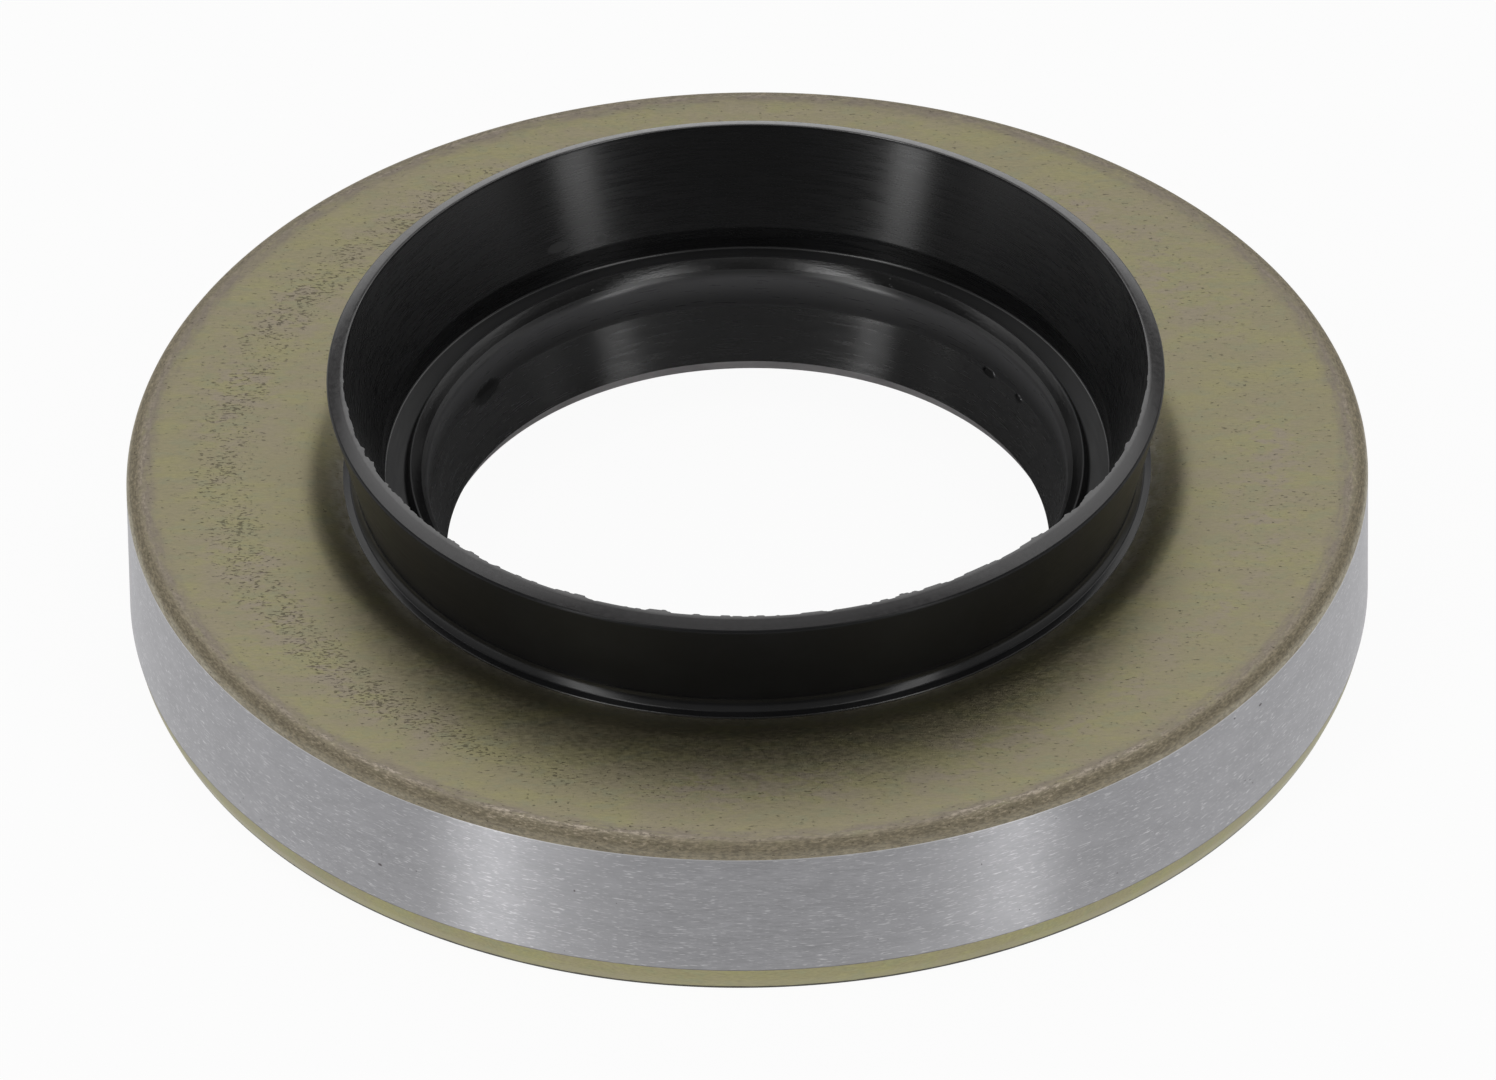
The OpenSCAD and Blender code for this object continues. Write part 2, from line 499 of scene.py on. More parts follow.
    def bump(self, height: object, strength: float, reach: float, onto: Optional[Socket] = None) -> Socket:
        """Adds a Bump node.

        Args:
            height: The relief, where a step of 1 is its full height.
            strength: Share of the relief that shows.
            reach: Full height of the relief, in millimetres.
            onto: Normal that the relief lies on, or None for the bare surface.

        Returns:
            The new normal.
        """
        under = {} if onto is None else {"Normal": onto}
        return self.add("ShaderNodeBump", {"Strength": strength, "Distance": reach * MM,
                                           "Height": height, **under}).outputs[0]

    def circular_grain(self, anisotropy: float) -> None:
        """Turns the shader's grain along circles round the axis.

        Args:
            anisotropy: How strongly the grain stretches reflections.
        """
        tangent = self.add("ShaderNodeTangent", direction_type="RADIAL", axis="Z")
        self.feed(self.shader.inputs["Tangent"], tangent.outputs[0])
        self.feed(self.shader.inputs["Anisotropic"], anisotropy)
        self.feed(self.shader.inputs["Anisotropic Rotation"], 0.25)

    def set(self, **values: object) -> None:
        """Feeds the shader's sockets.

        Args:
            values: What goes into each socket, named in lower case with underscores.
        """
        for name, value in values.items():
            socket = self.shader.inputs[name.replace("_", " ").title().replace("Ior", "IOR")]
            self.feed(socket, (*value, 1.0) if isinstance(value, tuple) else value)


@dataclass(frozen=True)
class OliveCoat:
    """Olive conversion coating on pressed steel, mottled, with a brown worn corner."""

    khaki: Colour = (0.255, 0.229, 0.145)
    straw: Colour = (0.266, 0.245, 0.136)
    green: Colour = (0.234, 0.231, 0.154)
    mauve: Colour = (0.258, 0.224, 0.171)
    smoke: Colour = (0.205, 0.176, 0.143)
    brown: Colour = (0.315, 0.275, 0.195)
    # Pale tint of the painted sheen on the corner round.
    sheen_tint: Colour = (0.485, 0.450, 0.365)
    pit: Colour = (0.055, 0.045, 0.032)
    bare_and_glint: Colour = (0.620, 0.540, 0.450)
    shear_and_contact_shade: Colour = (0.012, 0.010, 0.008)
    lead_tint: Colour = (1.29, 1.32, 1.20)
    metallic: float = 0.93
    roughness: float = 0.42
    flat_r: float = 36.1
    round_z: float = 10.75
    lead_z: float = 1.8
    pit_ring_r: float = 31.2

    def material(self) -> bpy.types.Material:
        """Builds the coating on object coordinates.

        Returns:
            The material.
        """
        n = NodeSketch("olive_coating")
        colour = self._mottle(n)
        upper = n.ramp(n.z, 4.0, 5.0)
        colour, worn = self._corner(n, colour, upper)
        grain = n.noise(n.stretched(2.6, 8.5, 8.5), seed=3.0)
        fine = n.ramp(grain, 0.25, 0.75, 0.80, 1.20, smooth=False)
        colour = n.shaded(colour, fine)
        pit = self._pits(n)
        colour = n.mix(n.product(pit, 0.6), colour, self.pit)
        lead = n.ramp(n.z, self.lead_z + 0.2, self.lead_z)
        colour = n.mix(lead, colour, n.mix(1.0, colour, self.lead_tint, mode="MULTIPLY"))
        # Near-black line along the lowest edge: the sheared edge, with painted contact shade where the case
        # meets the floor.
        torn_z = n.strayed(n.z, n.noise(n.around(0.8, 0.0), rough=0.55), 0.16)
        sheared_and_shaded = n.ramp(torn_z, 0.27, 0.20)
        colour = n.mix(n.product(sheared_and_shaded, 0.9), colour, self.shear_and_contact_shade)
        rough = n.math("ADD", n.ramp(grain, 0.3, 0.7, self.roughness - 0.05, self.roughness + 0.07),
                       n.product(worn, 0.26))
        relief = n.math("SUBTRACT", n.product(grain, 0.25), pit)
        n.set(base_color=colour, metallic=self.metallic, roughness=rough,
              normal=n.bump(relief, 0.5, 0.03))
        return n.material

    def _mottle(self, n: NodeSketch) -> Socket:
        """Faint clouds of straw, green and mauve, drawn out along the rolling direction.

        Args:
            n: The shader being built.

        Returns:
            Colour of the mottled coating.
        """
        patch = n.noise(n.stretched(0.22, 0.5, 0.5), detail=4.0, seed=31.0)
        cloud = n.noise(n.stretched(0.55, 1.1, 1.1), detail=4.0, rough=0.65, seed=7.0)
        broad = n.noise(n.place, scale=0.10, seed=11.0)
        colour = n.mix(n.ramp(patch, 0.44, 0.62), self.khaki, self.straw)
        colour = n.mix(n.product(n.ramp(cloud, 0.50, 0.66), 0.55), colour, self.green)
        ring = n.band(n.radius, self.pit_ring_r, 0.5, 2.6)
        share = n.product(n.ramp(broad, 0.38, 0.60), n.ramp(cloud, 0.56, 0.40),
                          n.math("ADD", n.product(ring, 0.55), 0.4))
        return n.mix(share, colour, self.mauve)

    def _corner(self, n: NodeSketch, colour: Socket, upper: Socket) -> tuple[Socket, Socket]:
        """Smoky band, brown round, rubbed flecks and a painted sheen along the upper corner; the flecks'
        brightness also paints glints.

        Args:
            n: The shader being built.
            colour: Colour of the coating so far.
            upper: 1 on the upper half of the case, 0 below.

        Returns:
            The new colour, and how worn the surface is.
        """
        streak = n.noise(n.around(0.55, 2.2, -2.2), detail=4.0, rough=0.65, seed=61.0)
        speck = n.noise(n.around(2.6, 6.0, -6.0), rough=0.7, seed=67.0)
        drift = n.noise(n.around(0.06, 0.0), detail=2.0, rough=0.5, seed=71.0)
        shifted = n.strayed(n.radius, streak, 0.9)
        smoky = n.product(n.ramp(shifted, self.flat_r - 1.1, self.flat_r - 0.1), upper)
        colour = n.mix(n.product(smoky, n.ramp(streak, 0.3, 0.6, 0.35, 0.95)), colour, self.smoke)
        worn = n.product(n.ramp(shifted, self.flat_r - 0.1, self.flat_r + 0.45), upper)
        colour = n.mix(n.product(worn, n.ramp(speck, 0.35, 0.62, 0.55, 1.0)), colour, self.brown)
        # Painted sheen: a pale tint on the outward round of the corner, weaker at the front, stands for the
        # backdrop reflected at grazing; it also lightens the hidden inner faces.
        sheen_zone = n.product(n.ramp(n.z, self.round_z, self.round_z - 0.4), upper)
        pale = n.product(n.ramp(streak, 0.62, 0.40, 0.45, 1.0), n.ramp(n.y, -34.0, -12.0, 0.35, 1.0))
        colour = n.mix(n.product(sheen_zone, pale), colour, self.sheen_tint)
        mottled = n.shaded(colour, n.ramp(speck, 0.34, 0.66, 0.84, 1.14))
        colour = n.mix(n.most(worn, n.product(smoky, 0.5)), colour, mottled)
        front = n.ramp(n.y, -20.0, -33.0)
        line = n.product(n.band(shifted, self.flat_r + 0.10, 0.08, 0.30),
                         n.ramp(drift, 0.42, 0.62, 0.10, 0.75))
        flecks = n.product(n.band(n.radius, self.flat_r + 0.30, 0.30, 0.20),
                           n.ramp(drift, 0.42, 0.60, 0.15, 0.8))
        rubbed = n.most(n.product(line, n.ramp(streak, 0.42, 0.62), n.ramp(speck, 0.42, 0.56)),
                        n.product(flecks, n.ramp(speck, 0.56, 0.66)))
        # Rubbed flecks of bare metal are real wear; their brightness, weighted towards the front, also paints
        # glints.
        colour = n.mix(n.product(rubbed, upper, n.math("ADD", n.product(front, 0.5), 0.2)), colour, self.bare_and_glint)
        return colour, worn

    def _pits(self, n: NodeSketch) -> Socket:
        """Short shallow pits along the rolling direction, densest in a ring on the left.

        Args:
            n: The shader being built.

        Returns:
            A mask that rises to 1 in the pits.
        """
        dash = n.noise(n.stretched(3.0, 7.5, 7.5), detail=2.0, rough=0.55, seed=19.0)
        crowd = n.noise(n.place, scale=0.45, seed=43.0)
        left = n.ramp(n.x, 6.0, -24.0, 0.15, 1.0)
        ring = n.product(n.band(n.radius, self.pit_ring_r, 0.3, 2.4), left)
        wanted = n.product(n.math("ADD", n.product(ring, 0.90), 0.34), n.ramp(crowd, 0.34, 0.60, 0.60, 1.04))
        limit = n.math("SUBTRACT", 0.70, n.product(wanted, 0.12))
        deep = n.ramp(n.math("SUBTRACT", dash, limit), 0.0, 0.05)
        return n.product(deep, n.ramp(n.z, 9.9, 10.2))


@dataclass(frozen=True)
class GroundSteel:
    """Outside diameter ground to size, with fine marks along the circumference."""

    steel: Colour = (0.470, 0.468, 0.485)
    dark: Colour = (0.420, 0.418, 0.435)
    bright_and_glint: Colour = (0.720, 0.715, 0.730)
    stain: Colour = (0.120, 0.105, 0.110)
    roughness: float = 0.40
    anisotropy: float = 1.0
    top_z: float = 10.1
    low_z: float = 1.8

    def material(self) -> bpy.types.Material:
        """Builds the ground finish on object coordinates.

        Returns:
            The material.
        """
        n = NodeSketch("ground_steel")
        streak = n.noise(n.around(0.9, 9.0), rough=0.65, seed=5.0)
        cloud = n.noise(n.around(0.35, 0.9), seed=15.0)
        dash = n.noise(n.around(1.9, 16.0), detail=1.0, rough=0.5, seed=29.0)
        tone = n.mix(n.ramp(streak, 0.3, 0.7), self.dark, self.steel)
        tone = n.shaded(tone, n.ramp(cloud, 0.3, 0.7, 0.96, 1.04))
        tone = n.mix(n.product(n.ramp(dash, 0.60, 0.71), 0.8), tone, self.bright_and_glint)
        tone = n.mix(self._scars(n), tone, self.stain)
        ragged = n.strayed(n.z, streak, 0.10)
        # Bright line along the top edge of the ground face: a burr, lightened further as a painted glint.
        tone = n.mix(n.ramp(ragged, self.top_z - 0.10, self.top_z - 0.03, 0.0, 0.7), tone, self.bright_and_glint)
        tone = n.mix(n.ramp(ragged, self.low_z + 0.07, self.low_z + 0.02, 0.0, 0.7), tone, self.stain)
        rough = n.ramp(streak, 0.3, 0.7, self.roughness - 0.04, self.roughness + 0.05)
        n.set(base_color=tone, metallic=1.0, roughness=rough,
              normal=n.bump(n.math("ADD", streak, n.product(dash, 0.6)), 0.22, 0.01))
        n.circular_grain(self.anisotropy)
        return n.material

    @staticmethod
    def _scars(n: NodeSketch) -> Socket:
        """A few dark nicks and pits in the ground face.

        Args:
            n: The shader being built.

        Returns:
            A mask of the nicks and pits.
        """
        distance, chance = n.cells(n.around(0.5, 0.9))
        pit = n.product(n.math("LESS_THAN", chance, 0.045), n.ramp(distance, 0.10, 0.05))
        nick = n.noise(n.around(3.0, 3.4), detail=1.0, rough=0.5, seed=83.0)
        clump = n.noise(n.around(0.18, 0.3), detail=1.0, rough=0.5, seed=89.0)
        return n.most(n.product(pit, 0.85),
                      n.product(n.ramp(nick, 0.74, 0.79), n.ramp(clump, 0.56, 0.66), 0.8))


@dataclass(frozen=True)
class MouldedRubber:
    """Black moulded rubber with the faint turned marks of its mould.

    A painted sheen above 0 greys the surface below sheen_top_z and thins out towards
    sheen_low_z, a painted reflection of the lit floor in the bore. Two dull smudges lie low on
    the inner wall of the collar, at wall_r, and three glossy drops on the funnel above the
    main lip, at funnel_r. Each is an azimuth in degrees, a height and half its width and height.
    """

    name: str
    roughness: float
    anisotropy: float
    specular: float
    ior: float = 1.5
    painted_sheen: float = 0.0
    sheen_top_z: float = 10.45
    sheen_low_z: float = 8.2
    black: Colour = (0.0030, 0.0030, 0.0032)
    bloom: Colour = (0.0044, 0.0045, 0.0052)
    wet: Colour = (0.0015, 0.0015, 0.0016)
    wall_r: float = 21.95
    smudges: tuple[tuple[float, ...], ...] = ((120.6, 12.7, 1.1, 0.45), (113.0, 12.4, 0.6, 0.45))
    funnel_r: float = 19.0
    drops: tuple[tuple[float, ...], ...] = (
        (145.0, 8.15, 1.9, 0.85), (39.7, 8.0, 0.8, 0.4), (30.5, 7.9, 0.5, 0.3))

    def material(self) -> bpy.types.Material:
        """Builds the moulded finish on object coordinates.

        Returns:
            The material.
        """
        n = NodeSketch(self.name)
        turned = n.noise(n.around(0.03, 3.4, 3.4), seed=41.0)
        brushed = n.noise(n.around(0.22, 6.0, 6.0), seed=47.0)
        cloud = n.noise(n.place, scale=0.25, seed=9.0)
        colour = n.mix(n.ramp(cloud, 0.4, 0.7), self.black, self.bloom)
        smudge = self._marks(n, self.wall_r, 0.5, *self.smudges)
        drop = self._marks(n, self.funnel_r, 0.35, *self.drops)
        rough = n.math("ADD", n.ramp(brushed, 0.3, 0.7, self.roughness - 0.03, self.roughness + 0.03),
                       n.product(smudge, 0.25))
        # Painted sheen: greys the land below its top, standing for the lit floor reflected in the bore.
        if self.painted_sheen > 0:
            sheen_share = n.product(n.ramp(n.z, self.sheen_top_z, self.sheen_top_z - 0.45),
                             n.ramp(n.z, self.sheen_low_z, self.sheen_top_z - 0.2, 0.30, 1.0))
            colour = n.mix(sheen_share, colour, (self.painted_sheen, self.painted_sheen, self.painted_sheen * 1.03))
        colour = n.mix(drop, colour, self.wet)
        rough = n.math("SUBTRACT", rough, n.product(drop, 0.2), clamp=True)
        relief = n.math("ADD", turned, n.product(brushed, 0.6))
        normal = n.bump(relief, 0.025, 0.012)
        normal = n.bump(drop, 0.9, 0.12, onto=normal)
        n.set(base_color=colour, roughness=rough, normal=normal, ior=self.ior,
              specular_ior_level=self.specular)
        n.circular_grain(self.anisotropy)
        return n.material

    @staticmethod
    def _marks(n: NodeSketch, r: float, ragged: float, *places: tuple[float, ...]) -> Socket:
        """Adds up ovals on one radius.

        Args:
            n: The shader being built.
            r: Distance of the ovals from the axis, in millimetres.
            ragged: How far noise frays their outlines.
            places: Azimuth, height, half width and half height of each oval.

        Returns:
            A mask of the ovals.
        """
        total: object = 0.0
        for azimuth_deg, z, wide, high in places:
            total = n.math("ADD", total, n.spot(azimuth_deg, r, z, wide, high, ragged))
        return total


# One rubber wears several blacks: the inner wall, outside and foot skins are painted lighter than the funnel,
# land and crest, lit copies of one black.
MOULDED_SKIN = MouldedRubber("moulded_rubber", roughness=0.28, anisotropy=0.88, specular=0.80,
                             black=(0.0052, 0.0052, 0.0055), bloom=(0.0064, 0.0065, 0.0072))
OUTSIDE_SKIN = MouldedRubber("moulded_outside", roughness=0.34, anisotropy=0.80, specular=0.22,
                             black=(0.0092, 0.0092, 0.0097), bloom=(0.0116, 0.0116, 0.0124))
FOOT_SKIN = replace(OUTSIDE_SKIN, name="moulded_foot", roughness=0.23, anisotropy=0.35, specular=0.36)
FUNNEL_SKIN = MouldedRubber("moulded_funnel", roughness=0.25, anisotropy=1.0, specular=1.0, ior=1.75)
# The land's grey is a painted reflection of the lit floor in the bore.
LAND_SKIN = MouldedRubber("moulded_land", roughness=0.30, anisotropy=0.90, specular=0.80, painted_sheen=0.105)


@dataclass(frozen=True)
class CrestRubber:
    """Glossy crest of the dust lip, ragged along the parting line of the mould."""

    black: Colour = (0.0030, 0.0029, 0.0030)
    roughness: float = 0.08
    specular: float = 0.7

    def material(self) -> bpy.types.Material:
        """Builds the crest's finish on object coordinates.

        Returns:
            The material.
        """
        n = NodeSketch("lip_crest")
        ragged = n.noise(n.around(0.45, 4.5, 4.5), detail=5.0, rough=0.75, seed=51.0)
        torn = n.noise(n.around(2.4, 4.0, 4.0), seed=57.0)
        rough = n.math("ADD", self.roughness, n.product(n.ramp(torn, 0.60, 0.72), 0.20))
        normal = n.bump(ragged, 0.22, 0.05)
        normal = n.bump(torn, 0.20, 0.012, onto=normal)
        n.set(base_color=self.black, roughness=rough, normal=normal, specular_ior_level=self.specular)
        return n.material


@dataclass(frozen=True)
class TrimmedRubber:
    """Cut rubber, greyer than the moulded skin."""

    name: str
    dark: Colour
    grey: Colour
    roughness: float
    relief: float
    specular: float = 0.5

    def material(self) -> bpy.types.Material:
        """Builds the cut finish on object coordinates.

        Returns:
            The material.
        """
        n = NodeSketch(self.name)
        grain = n.noise(n.place, scale=3.0, detail=4.0, rough=0.65, seed=23.0)
        drag = n.noise(n.around(0.12, 2.0, 5.0), seed=37.0)
        colour = n.mix(n.ramp(drag, 0.35, 0.65), self.dark, self.grey)
        n.set(base_color=colour, normal=n.bump(n.math("ADD", drag, n.product(grain, 0.5)), self.relief, 0.02),
              roughness=n.ramp(grain, 0.3, 0.7, self.roughness - 0.04, self.roughness + 0.07),
              specular_ior_level=self.specular)
        return n.material


RIM_CUT = TrimmedRubber("trimmed_rim", (0.0165, 0.0150, 0.0157), (0.0200, 0.0182, 0.0190), 0.20, 0.08,
                        specular=0.9)
# The lip's cut bevel is painted pale grey, far lighter than cut rubber: cut rubber with a painted reflection
# of the lit floor below it.
LIP_CUT_SHEEN = TrimmedRubber("trimmed_lip_painted_sheen", (0.42, 0.40, 0.41), (0.54, 0.52, 0.53), 0.45, 0.10)


@dataclass(frozen=True)
class SpringWire:
    """Bright drawn wire of the garter spring, thinly oiled."""

    steel: Colour = (0.50, 0.50, 0.52)
    shade: Colour = (0.34, 0.33, 0.32)
    roughness: float = 0.26

    def material(self) -> bpy.types.Material:
        """Builds the wire's finish on object coordinates.

        Returns:
            The material.
        """
        n = NodeSketch("spring_wire")
        tint = n.noise(n.place, scale=0.8, seed=2.0)
        grain = n.noise(n.place, scale=9.0, detail=2.0, rough=0.5, seed=13.0)
        n.set(base_color=n.mix(n.ramp(tint, 0.4, 0.7), self.steel, self.shade), metallic=1.0,
              roughness=n.ramp(grain, 0.3, 0.7, self.roughness - 0.05, self.roughness + 0.1),
              normal=n.bump(grain, 0.1, 0.01))
        return n.material


def stand_in(piece: bpy.types.Object, node: str) -> None:
    """Makes a piece ride on the body and stand for a solid, whose imported mesh it hides.

    Args:
        piece: The finished piece.
        node: Name of the solid that it stands for.
    """
    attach(piece, BODY)
    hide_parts(node)
    log.info("%s: %d faces, stands for %s", piece.name, len(piece.data.polygons), node)


@dataclass
class SteelCase:
    """Pressed case: ground wall, drawn-in lower edge and inward flange. Sizes in millimetres."""

    case_r: float
    height: float
    sheet: float = 1.2
    corner_r: float = 0.9
    lead_h: float = 1.8
    lead_inset: float = 0.6
    lead_bend_r: float = 1.5
    lead_belly: float = 0.36
    edge_r: float = 0.12
    inner_corner_r: float = 0.4
    bore_r: float = 22.4
    dip_start_r: float = 26.2
    dip_deg: float = 16.0
    dip_bend_r: float = 5.0
    longest_edge: float = 1.6
    segments: int = 540
    crease_deg: float = 40.0

    @property
    def under_z(self) -> float:
        """Height of the flat underside of the flange."""
        return self.height - self.sheet

    @property
    def dip_under_r(self) -> float:
        """Radius at which the underside of the flange starts to dip."""
        return self.dip_start_r + self.sheet * math.tan(math.radians(self.dip_deg) / 2)

    def flange_top(self, r: float) -> float:
        """Height of the dipped margin's upper face at a radius."""
        return self.height - (self.dip_start_r - r) * math.tan(math.radians(self.dip_deg))

    def flange_under(self, r: float) -> float:
        """Height of the dipped margin's lower face at a radius."""
        return self.under_z - (self.dip_under_r - r) * math.tan(math.radians(self.dip_deg))

    def corners(self) -> list[Corner]:
        """Lists the corners of the section, anticlockwise.

        Returns:
            The corners.
        """
        r, wall, inset = self.case_r, self.case_r - self.sheet, self.lead_inset
        belly = self.lead_belly * inset
        return [
            Corner(r, self.lead_h, skin=Skin.GROUND),
            Corner(r, self.height, self.corner_r, 10),
            Corner(self.dip_start_r, self.height, self.dip_bend_r, 10),
            Corner(self.bore_r, self.flange_top(self.bore_r)),
            Corner(self.bore_r, self.flange_under(self.bore_r)),
            Corner(self.dip_under_r, self.under_z, self.dip_bend_r - self.sheet, 6),
            Corner(wall, self.under_z, self.inner_corner_r),
            Corner(wall, self.lead_h),
            Corner(wall - belly, self.lead_h / 2, self.lead_bend_r),
            Corner(wall - inset, 0, self.edge_r),
            Corner(r - inset, 0, self.edge_r),
            Corner(r - belly, self.lead_h / 2, self.lead_bend_r),
        ]

    def outline(self) -> list[OutlinePoint]:
        """Rounds the section, in which only the straight wall is ground.

        Returns:
            The points of the outline.
        """
        points = rounded_outline(self.corners())
        top = self.height - self.corner_r
        fixed: list[OutlinePoint] = []
        for point in points:
            ground = abs(point.r - self.case_r) < 1e-6 and point.z < top - 1e-6
            fixed.append(OutlinePoint(point.r, point.z, Skin.GROUND if ground else Skin.OLIVE))
        return divided(fixed, self.longest_edge)

    def build(self, olive: OliveCoat, ground: GroundSteel) -> bpy.types.Object:
        """Makes the case and dresses it.

        Args:
            olive: Finish of the pressed faces.
            ground: Finish of the outside diameter.

        Returns:
            The finished piece.
        """
        piece = revolve("steel_case", self.outline(), self.segments, [Skin.OLIVE, Skin.GROUND],
                        crease_deg=self.crease_deg)
        piece.data.materials.append(olive.material())
        piece.data.materials.append(ground.material())
        stand_in(piece, "outer_case")
        return piece


@dataclass
class RubberElement:
    """The moulding: collar, dust lip, main lip, waist and lining. Sizes in millimetres."""

    case: SteelCase
    total_h: float
    shaft_r: float = 19.0
    rim_r: float = 23.95
    rim_w: float = 1.0
    rim_fall: float = 0.45
    foot_r: float = 24.1
    foot_h: float = 0.12
    foot_w: float = 0.45
    foot_slope_h: float = 0.1
    neck_r: float = 23.3
    neck_rise: float = 0.6
    neck_bend_r: float = 1.2
    throat_r: float = 21.7
    throat_rise: float = 0.95
    throat_lean: float = 0.05
    ledge_drop: float = 0.55
    ledge_slope_h: float = 0.2
    dust_gap: float = 0.05
    crest_r: float = 20.1
    crest_rise: float = 0.05
    crest_bevel_h: float = 0.82
    crest_round_w: float = 0.36
    land_h: float = 2.1
    root_w: float = 1.3
    lip_r: float = 18.0
    lip_z: float = 4.6
    bevel_h: float = 0.8
    bevel_w: float = 0.38
    heel_w: float = 0.75
    head_z: float = 3.2
    waist_t: float = 1.2
    waist_rise: float = 0.35
    waist_lean: float = 0.35
    lining_t: float = 0.9
    lining_r: float = 28.0
    lining_slope_w: float = 0.5
    groove_r: float = 1.15
    spring_back: float = 1.3
    spring_rise: float = 0.5
    groove_low: float = 310.0
    groove_high: float = 70.0
    groove_steps: int = 14
    groove_lip_w: float = 0.12
    groove_lip_h: float = 0.05
    groove_back_h: float = 0.2
    segments: int = 480
    rim_finer: int = 4
    flash_reach: float = 0.3
    flash_w: float = 0.04
    long_step_w: float = 0.08
    short_step_w: float = 0.09
    tear_w: float = 0.05
    nick_w: float = 0.05
    even_w: float = 0.02
    trim_depth: float = 0.012
    trim_wave: float = 0.008

    @property
    def spring_ring_r(self) -> float:
        """Radius of the ring that the spring's middle lies on."""
        return self.lip_r + self.spring_back + self.groove_r

    @property
    def spring_z(self) -> float:
        """Height of the spring's middle."""
        return self.lip_z + self.spring_rise

    def outline(self) -> list[OutlinePoint]:
        """Rounds the moulding's section, anticlockwise from the hole of the flange.

        Returns:
            The points of the outline.
        """
        case = self.case
        top = case.height
        foot_z = case.flange_top(self.foot_r) + self.foot_h
        dust_r = self.shaft_r + self.dust_gap
        ledge_z = top - self.ledge_drop
        crest_z = top + self.crest_rise
        bevel_z = crest_z - self.crest_bevel_h
        facet_rise = self.crest_bevel_h / (self.crest_r - dust_r)
        land_z = bevel_z - self.land_h
        slope = (dust_r - self.lip_r) / (land_z - self.lip_z)
        waist_z = self.spring_z + self.groove_r + self.waist_rise
        waist_r = self.lip_r + (waist_z - self.lip_z) * slope + self.waist_t
        waist_top_z = case.flange_under(case.bore_r) - self.lining_t
        lining_z = case.under_z - self.lining_t
        low = math.radians(self.groove_low)
        high = math.radians(self.groove_high)
        head_out_r = self.spring_ring_r + self.groove_r * math.cos(low)
        lip_top_r = self.spring_ring_r + self.groove_r * math.cos(high)
        fall = self.rim_fall / self.rim_w
        lean = (self.rim_r - self.throat_r) / (self.total_h - top - self.throat_rise)
        gaps = [self.flash_reach * share for share in (1.0, 0.7, 0.4)]
        m = Skin.MOULDED
        air_side = [
            Corner(case.bore_r, case.flange_top(case.bore_r), skin=m),
            Corner(self.foot_r, case.flange_top(self.foot_r), skin=m),
            Corner(self.foot_r, foot_z, 0.08, 4, Skin.FOOT),
            Corner(self.foot_r - self.foot_w, foot_z + self.foot_slope_h, 0.2, 5, Skin.FOOT),
            Corner(self.neck_r, foot_z + self.neck_rise, self.neck_bend_r, 6, Skin.OUTSIDE),
            Corner(self.rim_r + self.rim_w, self.total_h - self.rim_fall, 0.2, 6, Skin.TRIMMED),
            *(Corner(self.rim_r + gap, self.total_h - gap * fall, skin=Skin.TRIMMED) for gap in gaps),
            Corner(self.rim_r, self.total_h, 0.04, 2, m),
            *(Corner(self.rim_r - gap * lean, self.total_h - gap, skin=m) for gap in reversed(gaps)),
            Corner(self.throat_r, top + self.throat_rise, 0.4, 5, m),
            Corner(self.throat_r - self.throat_lean, ledge_z, 0.14, 4, Skin.OUTSIDE),
            Corner(dust_r + self.root_w, ledge_z - self.ledge_slope_h, 0.2, 4, Skin.OUTSIDE),
            Corner(self.crest_r, crest_z, 0.10, 4, Skin.CREST),
            Corner(dust_r + self.crest_round_w, bevel_z + self.crest_round_w * facet_rise,
                   skin=Skin.LAND),
            Corner(dust_r, bevel_z, 0.70, 7, Skin.LAND),
            Corner(dust_r, land_z, 0.6, 5, Skin.FUNNEL),
        ]
        lip_side = [
            Corner(self.lip_r, self.lip_z, skin=Skin.BEVEL),
            Corner(self.lip_r + self.bevel_w, self.lip_z - self.bevel_h, 0.08, 3, m),
            Corner(self.lip_r + self.bevel_w + self.heel_w, self.head_z, 0.3, 5, m),
            Corner(head_out_r, self.head_z, 0.3, 5, m),
            Corner(head_out_r + self.groove_lip_w,
                   self.spring_z + self.groove_r * math.sin(low) + self.groove_lip_h, skin=m),
        ]
        groove = []
        for step in range(self.groove_steps + 1):
            angle = low + (high - low) * step / self.groove_steps
            groove.append(Corner(self.spring_ring_r + self.groove_r * math.cos(angle),
                                 self.spring_z + self.groove_r * math.sin(angle), skin=m))
        back_side = [
            Corner(lip_top_r, self.spring_z + self.groove_r + self.groove_back_h, 0.1, 4, m),
            Corner(waist_r, waist_z, 0.4, 6, m),
            Corner(waist_r + self.waist_lean, waist_top_z, 0.4, 6, m),
            Corner(case.bore_r, waist_top_z, 2.0, 5, m),
            Corner(case.dip_under_r, lining_z, 3.0, 5, m),
            Corner(self.lining_r - self.lining_slope_w, lining_z, 0.3, 4, m),
            Corner(self.lining_r, case.under_z, skin=m),
            Corner(case.dip_under_r, case.under_z, case.dip_bend_r - case.sheet, 6, m),
            Corner(case.bore_r, case.flange_under(case.bore_r), skin=m),
        ]
        return rounded_outline(air_side + lip_side + groove + back_side)

    def _near_edge(self, r: float, z: float) -> bool:
        """Says whether a point of the outline lies on the trimmed inner edge of the rim."""
        return math.hypot(r - self.rim_r, z - self.total_h) < self.flash_reach

